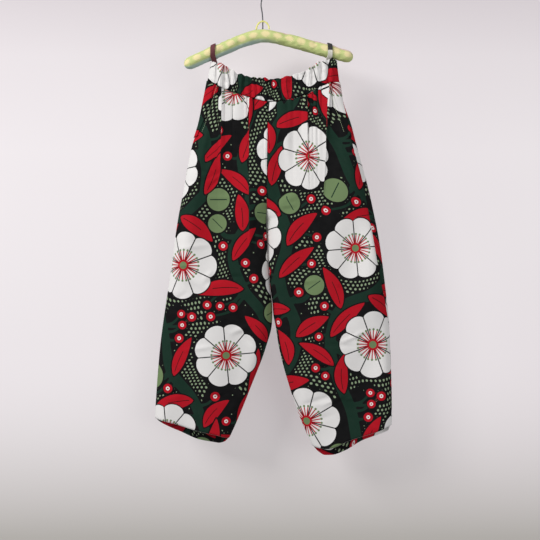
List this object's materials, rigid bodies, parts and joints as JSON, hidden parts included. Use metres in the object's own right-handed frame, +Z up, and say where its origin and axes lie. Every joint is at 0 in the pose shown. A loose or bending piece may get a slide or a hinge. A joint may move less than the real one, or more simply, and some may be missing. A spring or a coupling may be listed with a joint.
{
  "type": "barrel leg trousers on a padded hanger",
  "caption": "Cropped barrel leg trousers in printed cotton with a gathered waist, front pleats and slanted pockets, hung by waist loops from a padded hanger with a wire hook.",
  "frame": {"origin": "the inside of the top of the hanger's hook, where a rail carries it", "axes": "+Z up, the trousers' front faces -Y, +X is the wearer's left"},
  "size_m": [0.5618, 0.0704, 1.141],
  "materials": {
    "cotton_left": "printed cotton, matt",
    "cotton_right": "printed cotton, matt",
    "facing_left": "printed cotton, matt",
    "facing_right": "printed cotton, matt",
    "hem_left": "printed cotton, matt",
    "hem_right": "printed cotton, matt",
    "loop_left": "cotton, matt",
    "loop_right": "cotton, matt",
    "gathered_cotton": "printed cotton, gathered",
    "padded_cover": "woven cover over soft padding",
    "dark_wire": "dark wire",
    "ribbon": "satin ribbon"
  },
  "bodies": {
    "root": {"front_left": "cotton_left", "back_left": "cotton_left", "front_right": "cotton_right", "back_right": "cotton_right", "pocket_facing_left": "facing_left", "pocket_facing_right": "facing_right", "hem_left": "hem_left", "hem_right": "hem_right", "hanging_loop_left": "loop_left", "hanging_loop_right": "loop_right", "waistband_front": "gathered_cotton", "waistband_back": "gathered_cotton", "hanger_pad": "padded_cover", "hanger_hook": "dark_wire", "hanger_ribbon": "ribbon"}
  },
  "joints": []
}
